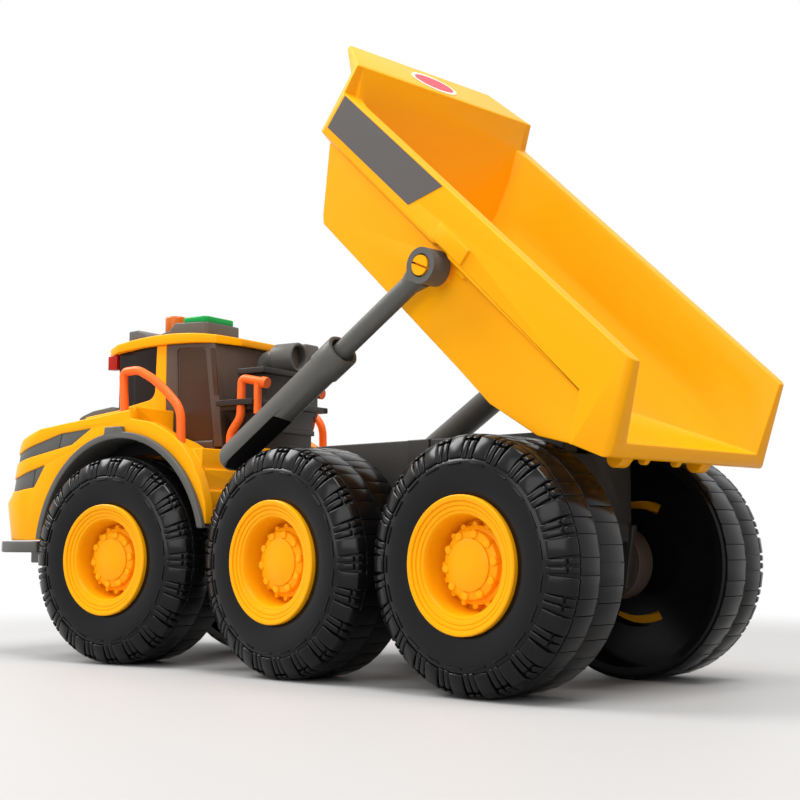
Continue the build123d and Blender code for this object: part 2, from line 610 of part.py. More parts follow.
def grille():
    """Pair of grille strips on the left side, set below the body's surface and split by a groove."""
    strips = grille_room(0.35) & block(170, 250, 0, 60, 50, 90)
    grooves = side_slab([(193.0, 80), (193.5, 80), (195.5, 73), (195.0, 73)], 60)
    grooves += side_slab([(206.2, 68), (206.7, 68), (208.1, 60), (207.6, 60)], 60)
    return strips - (grooves - nose_body(GRILLE_DEPTH - 0.4))


def hood_vent():
    """Dark cover lying on the bonnet in front of the windscreen."""
    outline = [  # (x, z)
        (208.0, 79.9), (207.0, 85.4), (202.4, 87.4), (197.4, 88.9), (188.0, 90.0), (186.4, 88.8), (186.0, 82.6),
    ]
    half = [(186.0, 24.0), (204.0, 24.0), (208.0, 21.0)]
    cover = side_slab(outline, 24) & plan_slab(half + [(x, -y) for x, y in reversed(half)], 70, 95)
    return cover - body_shell() - block(180, CAB_FRONT_X + 0.6, -CAB_HALF, CAB_HALF, 60, 130)


STEP_ROWS = [
    {"top": 72.2, "height": 7.0, "rear_x": 131.8},
    {"top": 65.2, "height": 7.2, "rear_x": 130.6},
    {"top": 58.0, "height": 7.0, "rear_x": 129.2},
]


def arch_block(grow, inner, outer):
    """Wheel arch opening, grown by a margin, from one y to another."""
    face = Ellipse(ARCH_HALF_LENGTH + grow, ARCH_HEIGHT + grow)
    solid = extrude(Plane.XZ * face, amount=outer - inner)
    return Pos(FRONT_AXLE_X, outer, TYRE_RADIUS) * solid


def flare():
    band = arch_block(FLARE_BAND, BODY_HALF, FLARE_HALF) + arch_block(FLARE_LINING, FLARE_INNER, BODY_HALF)
    band -= arch_block(0, 0, 60)
    band -= block(FRONT_AXLE_X, 230, 0, 60, -20, FLARE_FRONT_Z)
    band -= block(100, FRONT_AXLE_X, 0, 60, -20, FLARE_REAR_Z)
    crest = side_slab([(162.0, 70), (163.0, 80.4), (170.8, 80.4), (172.2, 70)], FLARE_HALF)
    crest &= block(150, 180, BODY_HALF, FLARE_HALF, 60, 90)
    return band + (crest - arch_block(0, 0, 60))


def cab_plan(inset):
    """Plan of the cab behind the front pillars, its rear corners cut off."""
    side = CAB_HALF - inset
    rear = CAB_REAR_X + inset
    half = [
        (PILLAR_X + inset, side), (CAB_REAR_X + 4.2 + 0.4 * inset, side), (rear, CAB_HALF - 8.0 - 0.4 * inset),
    ]
    return half + [(x, -y) for x, y in reversed(half)]


def cab():
    """Moulded box of the cab behind the front pillars: set-in door panels, slanting rear posts, rear wall."""
    walls = plan_slab(cab_plan(0.0), CAB_FLOOR_Z, CAB_TOP_Z + 3)
    post = side_slab([(142.8, 74), (CAB_REAR_X, 74), (142.9, CAB_TOP_Z), (147.4, CAB_TOP_Z)], CAB_HALF)
    walls += post - block(100, 200, -CAB_HALF + 5, CAB_HALF - 5, 60, 130)
    walls -= plan_slab(cab_plan(CAB_WALL), CAB_FLOOR_Z + 1.5, CAB_TOP_Z + 5)
    door = [(160.4, 109.8), (147.4, 109.2), (142.8, 76.1), (158.9, 76.1)]
    edge = FilletPolyline(*door, radius=1.6, close=True)
    panel = extrude(Plane.XZ * make_face(edge), amount=30, both=True)
    panel -= block(100, 200, -CAB_HALF + DOOR_DEPTH, CAB_HALF - DOOR_DEPTH, 60, 130)
    return walls - panel - under_roof()


def windscreen_frame():
    """Yellow front pillars with the scuttle that joins them under the windscreen."""
    frame = block(PILLAR_X, CAB_FRONT_X, -CAB_HALF, CAB_HALF, CAB_FLOOR_Z, CAB_TOP_Z + 3) - window_form()
    frame -= block(PILLAR_X - 1, CAB_FRONT_X - CAB_WALL, -CAB_HALF + CAB_WALL, CAB_HALF - CAB_WALL, 60, 130)
    return frame - under_roof()


def window_form():
    """Side and front windows as one form, its lower rear corners rounded."""
    front = PILLAR_X + PILLAR_WIDTH
    corners = [
        (front - 0.8, CAB_TOP_Z + 12), (front + 0.4, 92.4),
        (CAB_FRONT_X + 14, 86.8), (CAB_FRONT_X + 14, CAB_TOP_Z + 12),
    ]
    edge = FilletPolyline(*corners, radius=4.0, close=True)
    return extrude(Plane.XZ * make_face(edge), amount=40, both=True)


def cab_glass():
    """Dark one-piece windscreen and side windows."""
    side = CAB_HALF - 0.4
    half = [(PILLAR_X + 2, side), (181.0, side), (181.4, side - 0.4), (CAB_FRONT_X + 0.6, side - 0.4)]
    pane = plan_slab(half + [(x, -y) for x, y in reversed(half)], 80, CAB_TOP_Z + 3) & window_form()
    pane -= block(150, CAB_FRONT_X - CAB_WALL, -CAB_HALF + 2.4, CAB_HALF - 2.4, 60, 130)
    return pane - under_roof()


ROOF_UNDER = [(ROOF_REAR_X, 109.9), (167.0, 111.5), (ROOF_FRONT_X, 109.0)]
ROOF_OVER = [(ROOF_FRONT_X, 111.6), (163.0, 115.2), (ROOF_REAR_X, 112.6)]


def roof_side(over):
    """Side form bounded below by the roof's arched underside and above by the given points."""
    arch = ThreePointArc(*ROOF_UNDER)
    if len(over) == 3:
        top = [ThreePointArc(*over)]
    else:
        top = [Line(over[0], over[1])]
    ends = [Line(ROOF_UNDER[-1], over[0]), Line(over[-1], ROOF_UNDER[0])]
    return extrude(Plane.XZ * make_face([arch, *ends, *top]), amount=40, both=True)


def under_roof():
    """Everything above the roof's underside, to trim what stands beneath it."""
    return roof_side([(ROOF_FRONT_X, 150), (ROOF_REAR_X, 150)])


def roof():
    """Thin roof, arched from front to rear, its rear corners cut off like the cab's."""
    half = [
        (ROOF_REAR_X, 12), (ROOF_REAR_X + 5, 20), (150, 21.2), (188, 21.5),
        (ROOF_FRONT_X - 2, 19), (ROOF_FRONT_X, 15),
    ]
    plan = half + [(x, -y) for x, y in reversed(half)]
    return roof_side(ROOF_OVER) & plan_slab(plan, 90, 130)


def roof_module():
    outline = [
        (155.5, CAB_TOP_Z + 1), (155.5, MODULE_TOP_Z - 0.6), (170.5, MODULE_TOP_Z), (173.5, 118.6),
        (184.0, 116.6), (186.0, 118.4), (190.0, 120.2), (194.5, 120.0), (194.5, CAB_TOP_Z),
    ]
    half = [(155.5, MODULE_HALF - 1.5), (157.0, MODULE_HALF), (171, MODULE_HALF), (194.5, MODULE_HALF - 1)]
    plan = half + [(x, -y) for x, y in reversed(half)]
    return (side_slab(outline, 12) & plan_slab(plan, 90, 130)) - roof()


def button():
    half = [(157.0, 7.0), (158.5, 8.5), (167.5, 8.5), (169.0, 7.0)]
    plate = plan_slab(half + [(x, -y) for x, y in reversed(half)], MODULE_TOP_Z - 1, MODULE_TOP_Z + 2.0)
    return plate - roof_module()


def beacon():
    lamp = Pos(179, 0, 0) * extrude(Circle(4.0), amount=125.4)
    lamp -= block(160, 200, -20, 20, -1, CAB_TOP_Z + 2)
    return lamp - roof_module() - roof()


def rear_deck():
    """Dark tower behind the cab: ledges on its rear face, a shelf on top and a walkway to each side."""
    rows = [  # (x of the rear face, half width, z low, z high)
        (DECK_REAR_X + 1.6, DECK_HALF - 2.0, CAB_FLOOR_Z, 79.0),
        (DECK_REAR_X + 0.8, DECK_HALF - 1.2, 79.0, 80.8),
        (DECK_REAR_X + 1.2, DECK_HALF - 1.6, 80.8, 87.6),
        (DECK_REAR_X - 0.8, DECK_HALF + 0.8, 87.6, 89.6),
        (DECK_REAR_X, DECK_HALF - 0.4, 89.6, DECK_TOP_Z - 2.0),
        (DECK_REAR_X - 1.4, DECK_HALF + 3.0, DECK_TOP_Z - 2.0, DECK_TOP_Z),
    ]
    tiers = [block(x, DECK_FRONT_X, -half, half, low, high) for x, half, low, high in rows]
    neck = block(DECK_FRONT_X - 1, CAB_REAR_X, -DECK_HALF + 4, DECK_HALF - 4, CAB_FLOOR_Z, DECK_TOP_Z)
    walkway = block(DECK_REAR_X - 0.8, CAB_REAR_X, DECK_HALF - 2, 24.0, WALKWAY_Z - 2.0, WALKWAY_Z)
    walkway += block(DECK_REAR_X + 2.0, CAB_REAR_X, DECK_HALF - 2, 21.5, WALKWAY_Z - 3.4, WALKWAY_Z - 2.0)
    rail = rear_rail()
    return tiers[0] + tiers[1:] + neck + walkway + mirrored(walkway) - rail - mirrored(rail)


def air_cleaner():
    tube = Pos(DECK_REAR_X - 1.2, -2.0, DECK_TOP_Z + 5.4) * Rot(0, 90, 0)
    length = CAB_REAR_X - DECK_REAR_X + 1.2
    drum = tube * extrude(Circle(5.4), amount=length)
    drum -= tube * extrude(Circle(4.3), amount=6)
    drum += block(DECK_REAR_X - 1, DECK_REAR_X + 8, -15.0, -7.0, DECK_TOP_Z, DECK_TOP_Z + 11)
    return drum - roof()


def rail_tube(points, radius, corner):
    path = FilletPolyline(*points, radius=corner)
    start = Plane(origin=path @ 0, z_dir=path % 0)
    return sweep(start * Circle(radius), path=path)


def handrail_front():
    y = 40.6
    points = [
        (165.6, y, 83.0), (166.2, y, 99.6), (158.6, y, 99.1), (148.8, y, 92.2), (140.4, y, 84.6), (139.6, y, 72.0),
    ]
    return rail_tube(points, RAIL_TUBE, 3.0) - body_shell()


def rear_rail():
    """Grab rail beside the tower, passing through the walkway, with a short second leg and a round end."""
    y = 22.3
    foot = STEP_ROWS[0]["top"]
    points = [
        (133.4, y, foot), (133.4, y, foot + 3.0), (129.0, y, foot + 8.4), (128.4, y, 96.6), (118.8, y, 94.2),
    ]
    grip = rail_tube(points, RAIL_TUBE, 1.8)
    leg = Pos(121.9, y, WALKWAY_Z - 5.0) * extrude(Circle(RAIL_TUBE - 0.15), amount=9.6)
    knob = Pos(118.8, y, 94.2) * Rot(0, 90, 0) * Sphere(RAIL_TUBE + 0.5)
    return grip + leg + knob


def bumper():
    half = [(205, 42.8), (214, 44), (223, 42), (229.5, 37), (233.5, 28), (234.5, 15)]
    outer = half + [(x, -y) for x, y in reversed(half)]
    inner = [(205, 34), (218, 26), (218, -26), (205, -34)]
    bar = plan_slab(outer, BUMPER_LOW_Z, BUMPER_TOP_Z)
    bar -= plan_slab([(190, 34)] + inner + [(190, -34)], 30, 50)
    under = plan_slab([(208, 30), (226, 26), (226, -26), (208, -30)], BUMPER_LOW_Z - 4, BUMPER_LOW_Z)
    return bar + under


def marker_lamp():
    return block(190.0, 194.5, 16.0, 19.8, 104.2, 112.0) - roof() - cab_glass() - under_roof()


# ---------------------------------------------------------------- assembly
def assemble():
    place_wheels()
    parts["axle_rear"] = axle(0.0, 11.0, TREAD_INNER_Y - 1.0)
    parts["axle_mid"] = axle(MID_AXLE_X, 11.0, TREAD_INNER_Y - 1.0)
    parts["rear_frame"] = rear_frame()
    parts["bed"] = tipped(bed())
    for name, shape in (("barrel", barrel()), ("rod", rod()), ("hoist_pin", hoist_pin())):
        parts[f"{name}_l"] = shape
        parts[f"{name}_r"] = mirrored(shape)
    front = {
        "axle_front": axle(FRONT_AXLE_X, 9.0, TREAD_INNER_Y - 1.0),
        "front_frame": front_frame(),
        "body_shell": body_shell(),
        "cab": cab(),
        "windscreen_frame": windscreen_frame(),
        "cab_glass": cab_glass(),
        "roof": roof(),
        "roof_module": roof_module(),
        "button": button(),
        "beacon": beacon(),
        "rear_deck": rear_deck(),
        "hood_vent": hood_vent(),
        "air_cleaner": air_cleaner(),
        "bumper": bumper(),
    }
    sides = {
        "flare": flare(),
        "handrail_front": handrail_front(),
        "handrail_rear": rear_rail(),
        "marker_lamp": marker_lamp(),
        "grille": grille(),
    }
    for name, shape in sides.items():
        front[f"{name}_l"] = shape
        front[f"{name}_r"] = mirrored(shape)
    for name, shape in front.items():
        parts[name] = steered(shape)


assemble()
os.makedirs("parts", exist_ok=True)
for name, shape in parts.items():
    export_step(Pos(-ORIGIN_X, -ORIGIN_Y, 0) * shape, f"parts/{name}.step")
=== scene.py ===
"""Looks of a toy articulated dump truck: moulded plastics, lugged tyres, dished rims and soft edges."""
import json
from math import cos, pi, radians, sin

import bpy
from mathutils import Matrix, Vector


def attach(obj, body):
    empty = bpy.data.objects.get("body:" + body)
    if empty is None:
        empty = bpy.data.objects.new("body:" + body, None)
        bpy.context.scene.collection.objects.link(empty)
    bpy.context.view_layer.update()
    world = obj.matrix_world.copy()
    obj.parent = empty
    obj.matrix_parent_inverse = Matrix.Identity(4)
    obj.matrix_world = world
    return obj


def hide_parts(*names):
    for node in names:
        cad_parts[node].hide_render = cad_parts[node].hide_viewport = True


MM = 0.001
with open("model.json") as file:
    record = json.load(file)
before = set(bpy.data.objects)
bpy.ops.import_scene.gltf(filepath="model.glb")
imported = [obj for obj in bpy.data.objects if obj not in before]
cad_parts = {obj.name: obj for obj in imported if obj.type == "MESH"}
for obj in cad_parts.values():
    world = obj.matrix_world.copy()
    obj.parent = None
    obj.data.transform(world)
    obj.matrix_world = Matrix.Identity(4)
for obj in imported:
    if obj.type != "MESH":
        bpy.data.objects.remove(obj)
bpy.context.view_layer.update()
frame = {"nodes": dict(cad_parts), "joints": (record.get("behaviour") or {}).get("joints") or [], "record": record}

# ---------------------------------------------------------------- what the frame says
BODIES = frame["record"]["behaviour"]["bodies"]
JOINTS = {joint["name"]: joint for joint in frame["joints"]}
HINGE = Matrix.Translation(JOINTS["bed_tip"]["pos_m"])
BED_TIP = HINGE @ Matrix.Rotation(-radians(JOINTS["bed_tip"]["range_deg"][1]), 4, "Y")
TO_LEVEL_BED = BED_TIP.inverted()

FRONT_TURN = 10.5             # degrees to the left at which the front unit stands
PIN_X, PIN_Y, _ = JOINTS["steer"]["pos_m"]
FRONT = Matrix.Translation((PIN_X, PIN_Y, 0)) @ Matrix.Rotation(radians(FRONT_TURN), 4, "Z")

UPRIGHT = Matrix.Rotation(pi / 2, 4, "X")     # from plan to side outline: y becomes z
MIRROR = Matrix.Scale(-1, 4, (0, 1, 0))       # from the left side to the right one
WELD = 0.001 * MM             # vertices nearer than this are one

# ---------------------------------------------------------------- camera, millimetres
CAMERA_AT = (-336.8, 327.07, 41.6)
CAMERA_TO = (-73.9, 47.17, 80.0)
LENS_MM = 63.03
SENSOR_MM = 36.0

# ---------------------------------------------------------------- wheel, mm from the axle and the middle
TREAD_INNER = 25.4
TREAD_OUTER = 47.4
TREAD_MIDDLE = (TREAD_INNER + TREAD_OUTER) / 2
TREAD_BASE = 34.62            # radius between the lugs
TREAD_TOP = 34.95
LIP = 51.1                    # outer face of the rim
WEB = 32.0                    # inner face of the rim and of the tyre's wall
SEAT = WEB + 2.6              # where tyre and rim meet beside the web

LUG_GROUPS = 21
BLOCK_HALF = 2.35             # half widths of a repeat's parts, round the tread
BAR_HALF = 0.87
RIDGE_HALF = 2.45
WIDE_PLATE_HALF = 2.9
NARROW_PLATE_HALF = 2.15
BAR_PLACES = (3.85, 6.2)      # round the tread from the wide block's middle
PLATE_GAP = 0.3               # between the two rows of plates, from the middle
ROW_SHIFT = 0.3               # share of a repeat by which the inner row of plates is turned

SLOT_MIDDLES = (90, 270)      # degrees round the axle
SLOT_WIDTH = 56

HUB_BOLTS = 10
FLANGE_STUDS = 16


# ---------------------------------------------------------------- finishes
FLOW_MM = 45                  # size of the colour's slow drift
GLOSSIER, DULLER = 0.04, 0.05     # how far the grain moves the roughness down and up
GRAIN_DEPTH_MM = 0.01
PLASTIC_IOR = 1.5


def linear(hex_colour):
    """sRGB hex to the linear colour that a shader takes."""
    channels = [int(hex_colour[i:i + 2], 16) / 255 for i in (0, 2, 4)]
    return [c / 12.92 if c <= 0.04045 else ((c + 0.055) / 1.055) ** 2.4 for c in channels] + [1.0]


def add_node(tree, kind, settings=None, links=None):
    """Adds a node, sets its settings and sockets, and links its inputs, given by name or by place."""
    node = tree.nodes.new(kind)
    for name, value in (settings or {}).items():
        if name in node.inputs:
            node.inputs[name].default_value = value
        else:
            setattr(node, name, value)
    for socket, source in (links or {}).items():
        tree.links.new(source, node.inputs[socket])
    return node


def moulded_plastic(name, hex_colour, hex_shade, roughness, grain_mm, grain_height, mirror=0.2):
    """Moulded plastic: a slow colour drift from the melt's flow and a fine mould grain in the gloss."""
    material = bpy.data.materials.new(name)
    material.use_nodes = True
    tree = material.node_tree
    shader = tree.nodes["Principled BSDF"]
    place = add_node(tree, "ShaderNodeTexCoord")
    flow = add_node(tree, "ShaderNodeTexNoise", {"Scale": 1 / (FLOW_MM * MM), "Detail": 2.0},
                    {"Vector": place.outputs["Object"]})
    colour = add_node(tree, "ShaderNodeMixRGB", {"Color1": linear(hex_colour), "Color2": linear(hex_shade)},
                      {"Fac": flow.outputs["Fac"]})
    tree.links.new(colour.outputs["Color"], shader.inputs["Base Color"])
    grain = add_node(tree, "ShaderNodeTexNoise", {"Scale": 1 / (grain_mm * MM), "Detail": 3.0},
                     {"Vector": place.outputs["Object"]})
    gloss = add_node(tree, "ShaderNodeMapRange",
                     {"To Min": roughness - GLOSSIER, "To Max": roughness + DULLER},
                     {"Value": grain.outputs["Fac"]})
    tree.links.new(gloss.outputs["Result"], shader.inputs["Roughness"])
    bump = add_node(tree, "ShaderNodeBump", {"Strength": grain_height, "Distance": GRAIN_DEPTH_MM * MM},
                    {"Height": grain.outputs["Fac"]})
    tree.links.new(bump.outputs["Normal"], shader.inputs["Normal"])
    shader.inputs["IOR"].default_value = PLASTIC_IOR
    shader.inputs["Specular IOR Level"].default_value = mirror
    return material


# Warm construction yellow with a soft sheen: bed, body shell and rims stand out first.
YELLOW = moulded_plastic(
    "yellow_abs_moulded", "FBAC08", "F9A506", roughness=0.33, grain_mm=0.9, grain_height=0.05, mirror=0.12)
# Dull mid grey: hoist rods, flares and bumper read as separate mouldings.
GREY = moulded_plastic(
    "dark_grey_pp_moulded", "5E5E5B", "565552", roughness=0.4, grain_mm=0.8, grain_height=0.08)
# Dark grey plastic made darker still with painted shade: the frames recede under the bed.
SHADED_FRAME_GREY = moulded_plastic(
    "frame_grey_with_painted_shade", "3A3937", "343331", roughness=0.42, grain_mm=0.8, grain_height=0.08)
# Brown-grey: the cab's box and the axles look warm beside the grey.
BROWN = moulded_plastic(
    "brown_grey_pp_moulded", "574940", "4F423A", roughness=0.4, grain_mm=0.8, grain_height=0.08)
# Deep brown with a clearer shine for the panes in the doors; part of the brown is a painted reflection of the
# orange rail and the yellow step.
PANE_BROWN_AND_REFLECTION = moulded_plastic(
    "pane_brown_with_painted_reflection", "4B3427", "442F23", roughness=0.22, grain_mm=1.2, grain_height=0.03)
# Brown plastic made nearly black with painted shade: the tower behind the cab stays in the shade.
SHADED_DECK_BROWN = moulded_plastic(
    "deck_brown_with_painted_shade", "34302D", "2E2A27", roughness=0.4, grain_mm=0.8, grain_height=0.08)
# Deep black with crisp highlights: the lugs of the tyres shine along their edges.
BLACK = moulded_plastic(
    "black_pvc_moulded", "0F0F10", "0C0C0D", roughness=0.21, grain_mm=0.7, grain_height=0.03, mirror=0.2)
# Lightless black of painted shade: the wheel arches' lining and the sheets on the barrels' flats look like deep
# shade.
SHADOW_BLACK = moulded_plastic(
    "painted_shade_black", "0B0B0B", "090909", roughness=0.6, grain_mm=0.8, grain_height=0.08, mirror=0.15)
# Bright orange: the handrails stand out against brown and yellow.
ORANGE = moulded_plastic(
    "orange_abs_moulded", "FF7024", "FA6720", roughness=0.33, grain_mm=0.9, grain_height=0.05)
# Clear green: the press button catches the eye on the roof.
GREEN = moulded_plastic(
    "green_abs_moulded", "10A04A", "0E9846", roughness=0.33, grain_mm=0.9, grain_height=0.05)
# Dark and smooth: the cab's windows mirror the room.
WINDOW = moulded_plastic(
    "smoked_window_pc", "1E1410", "18100D", roughness=0.16, grain_mm=1.5, grain_height=0.02)
# Glossy amber: the beacon looks like a lamp's dome.
BEACON = moulded_plastic(
    "clear_orange_pc", "D06A1E", "C5601A", roughness=0.14, grain_mm=1.5, grain_height=0.02)
# Glossy red: the marker lamps beside the windscreen.
LAMP = moulded_plastic(
    "clear_red_pc", "B0200E", "A01A0B", roughness=0.14, grain_mm=1.5, grain_height=0.02)
# Flat warm grey: the blank labels on the bed's band.
LABEL_GREY = moulded_plastic(
    "grey_vinyl_label", "5E5A58", "5A5654", roughness=0.38, grain_mm=1.2, grain_height=0.02)
# Creamy white: the thin rim of the oval label.
LABEL_WHITE = moulded_plastic(
    "white_vinyl_label", "F0E4D6", "ECDFCF", roughness=0.36, grain_mm=1.2, grain_height=0.02)
# Soft red: the middle of the oval label.
LABEL_RED = moulded_plastic(
    "red_vinyl_label", "D04050", "CA3C4C", roughness=0.36, grain_mm=1.2, grain_height=0.02)

# The dark slot holds the dark plastics together with the parts whose colour carries painted shade or painted
# reflection.
NODE_FINISH = {
    "tyre": (BLACK, "tyre_black"), "rim": (YELLOW, "yellow_plastic"), "axle": (BROWN, "axle_grey"),
    "rear_frame": (SHADED_FRAME_GREY, "dark_grey_plastic"), "bed": (YELLOW, "yellow_plastic"),
    "barrel": (GREY, "dark_grey_plastic"), "rod": (GREY, "dark_grey_plastic"),
    "hoist_pin": (YELLOW, "yellow_plastic"), "front_frame": (SHADED_FRAME_GREY, "dark_grey_plastic"),
    "body_shell": (YELLOW, "yellow_plastic"), "cab": (BROWN, "dark_grey_plastic"),
    "windscreen_frame": (YELLOW, "yellow_plastic"), "cab_glass": (WINDOW, "cab_glass"),
    "roof": (YELLOW, "yellow_plastic"), "roof_module": (GREY, "dark_grey_plastic"),
    "button": (GREEN, "button_green"), "beacon": (BEACON, "beacon_orange"),
    "rear_deck": (SHADED_DECK_BROWN, "dark_grey_plastic"), "air_cleaner": (GREY, "dark_grey_plastic"),
    "bumper": (GREY, "dark_grey_plastic"), "flare": (GREY, "dark_grey_plastic"),
    "hood_vent": (GREY, "dark_grey_plastic"), "grille": (GREY, "dark_grey_plastic"),
    "handrail": (ORANGE, "rail_orange"), "marker_lamp": (LAMP, "lamp_red"),
}


def finish_of(node):
    """Finish and slot of the longest name that a node's name starts with."""
    return NODE_FINISH[max((kind for kind in NODE_FINISH if node.startswith(kind)), key=len)]


for node, cad_object in frame["nodes"].items():
    cad_object.data.materials.clear()
    cad_object.data.materials.append(finish_of(node)[0])


# ---------------------------------------------------------------- modelling helpers
def deselect():
    bpy.ops.object.select_all(action="DESELECT")


def choose(piece):
    """Makes a piece the only selected one and the active one."""
    deselect()
    piece.select_set(True)
    bpy.context.view_layer.objects.active = piece


def edit(piece):
    """Enters edit mode with every vertex of the piece selected."""
    choose(piece)
    bpy.ops.object.mode_set(mode="EDIT")
    bpy.ops.mesh.select_mode(type="VERT")
    bpy.ops.mesh.select_all(action="SELECT")


def leave_edit():
    bpy.ops.object.mode_set(mode="OBJECT")


def chain(name, points):
    """Starts a piece as one vertex and extrudes it from point to point; leaves it in edit mode."""
    deselect()
    bpy.ops.mesh.primitive_plane_add(size=MM, location=Vector(points[0]) * MM)
    piece = bpy.context.object
    piece.name = name
    bpy.ops.object.transform_apply(location=True)
    edit(piece)
    bpy.ops.mesh.merge(type="CENTER")
    for here, there in zip(points, points[1:]):
        step = (Vector(there) - Vector(here)) * MM
        bpy.ops.mesh.extrude_vertices_move(TRANSFORM_OT_translate={"value": step})
    return piece


def turned(name, profile, steps, angle=2 * pi):
    """Closed profile of (radius, y) spun about the Y axis."""
    loop = [(radius, y, 0) for radius, y in profile]
    piece = chain(name, loop + loop[:1])
    bpy.ops.mesh.select_all(action="SELECT")
    bpy.ops.mesh.remove_doubles(threshold=WELD)
    if angle < 2 * pi:
        bpy.ops.mesh.edge_face_add()
    bpy.ops.mesh.spin(steps=steps, angle=angle, center=(0, 0, 0), axis=(0, 1, 0))
    bpy.ops.mesh.select_all(action="SELECT")
    bpy.ops.mesh.remove_doubles(threshold=WELD)
    bpy.ops.mesh.normals_make_consistent(inside=False)
    leave_edit()
    return piece


def slab(name, outline, low, high):
    """Closed outline of (x, y) made solid from one height to another."""
    loop = [(x, y, low) for x, y in outline]
    piece = chain(name, loop + loop[:1])
    bpy.ops.mesh.select_all(action="SELECT")
    bpy.ops.mesh.remove_doubles(threshold=WELD)
    bpy.ops.mesh.edge_face_add()
    bpy.ops.mesh.extrude_region_move(TRANSFORM_OT_translate={"value": (0, 0, (high - low) * MM)})
    bpy.ops.mesh.select_all(action="SELECT")
    bpy.ops.mesh.normals_make_consistent(inside=False)
    leave_edit()
    return piece


def modify(piece, kind, **settings):
    """Adds a modifier and applies it."""
    choose(piece)
    modifier = piece.modifiers.new(kind.lower(), kind)
    for name, value in settings.items():
        setattr(modifier, name, value)
    bpy.ops.object.modifier_apply(modifier=modifier.name)
    return piece


def round_edges(piece, radius, segments):
    """Rounds every sharp edge."""
    return modify(piece, "BEVEL", width=radius * MM, segments=segments, limit_method="ANGLE")


def round_some_edges(piece, wanted, radius, clamp=False):
    """Rounds the edges whose two ends pass a test."""
    edit(piece)
    bpy.ops.mesh.select_mode(type="EDGE")
    bpy.ops.mesh.select_all(action="DESELECT")
    leave_edit()
    for edge in piece.data.edges:
        edge.select = wanted(*(piece.data.vertices[i].co for i in edge.vertices))
    bpy.ops.object.mode_set(mode="EDIT")
    bpy.ops.mesh.bevel(offset=radius * MM, segments=6, clamp_overlap=clamp)
    leave_edit()


def cut(piece, cutter):
    """Takes the cutter's shape out of a piece and removes the cutter."""
    modify(piece, "BOOLEAN", operation="DIFFERENCE", object=cutter, solver="EXACT")
    bpy.data.objects.remove(cutter)


def join(name, pieces):
    """Makes several pieces one mesh."""
    deselect()
    for piece in pieces:
        piece.select_set(True)
    bpy.context.view_layer.objects.active = pieces[0]
    bpy.ops.object.join()
    pieces[0].name = name
    return pieces[0]


def smooth(piece, angle=40):
    """Shades smoothly over edges that turn by less than the angle, in degrees."""
    choose(piece)
    bpy.ops.object.shade_smooth_by_angle(angle=radians(angle))
    return piece


def copied(piece, name, matrix):
    """Copy with its own mesh, moved by a matrix; a mirroring matrix gets its faces turned back outwards."""
    twin = bpy.data.objects.new(name, piece.data.copy())
    bpy.context.scene.collection.objects.link(twin)
    twin.data.transform(matrix)
    if matrix.determinant() < 0:
        twin.data.flip_normals()
    return twin


def around(piece, count, phase=0.0):
    """Copies of a piece evenly spaced about the Y axis; the first one is turned in place."""
    rest = []
    for i in range(1, count):
        rest.append(copied(piece, piece.name, Matrix.Rotation(2 * pi * (i + phase) / count, 4, "Y")))
    piece.data.transform(Matrix.Rotation(2 * pi * phase / count, 4, "Y"))
    return [piece] + rest


def dress(piece, finish, slot, body, *nodes):
    """Gives a piece its finish, hides the nodes it stands for and hangs it under its body."""
    piece.data.materials.clear()
    piece.data.materials.append(finish)
    if nodes:
        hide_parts(*nodes)
    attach(piece, body)
    return piece


# ---------------------------------------------------------------- soft edges of the mouldings
SOFT_EDGES = {  # edge radius in millimetres, for the nodes whose names start so
    "bed": 0.35, "body_shell": 0.45, "cab": 0.35, "windscreen_frame": 0.4, "roof": 0.4, "roof_module": 0.45,
    "button": 0.5, "bumper": 0.5, "flare": 0.4, "grille": 0.2, "hood_vent": 0.4, "rear_deck": 0.3,
    "rear_frame": 0.4, "front_frame": 0.4, "marker_lamp": 0.4, "cab_glass": 0.15,
    "axle": 0.3, "beacon": 0.9,
}
FLAT_ANGLE = 0.6              # degrees below which two neighbouring faces are one
SHARP_ANGLE = 32              # degrees above which an edge is rounded

TAIL_RADIUS = 2.2
TAIL_BEHIND = -22.0           # where the tail posts' outer edges lie on the level bed, from the hinge
TAIL_ABOVE = 14.5
TAIL_OUTSIDE = 39.0


def soften(node, radius):
    """Copy of a node whose moulded edges are rounded; it stands for the node."""
    piece = bpy.data.objects.new(f"{node}_moulding", frame["nodes"][node].data.copy())
    bpy.context.scene.collection.objects.link(piece)
    edit(piece)
    bpy.ops.mesh.remove_doubles(threshold=WELD)
    bpy.ops.mesh.dissolve_limited(angle_limit=radians(FLAT_ANGLE))
    leave_edit()
    if node == "bed":
        round_some_edges(piece, on_tail_post, TAIL_RADIUS, clamp=True)
    modify(piece, "BEVEL", width=radius * MM, segments=3, limit_method="ANGLE",
           angle_limit=radians(SHARP_ANGLE), miter_outer="MITER_ARC", use_clamp_overlap=False)
    smooth(piece)
    body = next(name for name, members in BODIES.items() if node in members)
    return dress(piece, *finish_of(node), body, node)


def on_tail_post(*ends):
    """Whether an edge runs down the outside of a tail post."""
    level = [TO_LEVEL_BED @ end / MM for end in ends]
    behind = max(end.x for end in level) < TAIL_BEHIND
    above = min(end.z for end in level) > TAIL_ABOVE
    return behind and above and min(abs(end.y) for end in level) > TAIL_OUTSIDE


for node in sorted(frame["nodes"]):
    starts = [kind for kind in SOFT_EDGES if node.startswith(kind)]
    if starts:
        soften(node, SOFT_EDGES[max(starts, key=len)])


# ---------------------------------------------------------------- labels on the bed
RAIL_REAR = (-34.3, 39.4)     # rear end of the rail band, forwards of the hinge and from the middle
RAIL_SPLAY = 1.826            # degrees by which the band widens towards the front
LABEL_HALF_THICK = 0.16
LABEL_FRONT = 143.3           # along the band from its rear end
LABEL_TOP_REAR = 92.8         # its rear end is cut aslant
LABEL_LOW_REAR = 100.2
LABEL_LOW, LABEL_TOP = 26.8, 37.9     # heights above the hinge

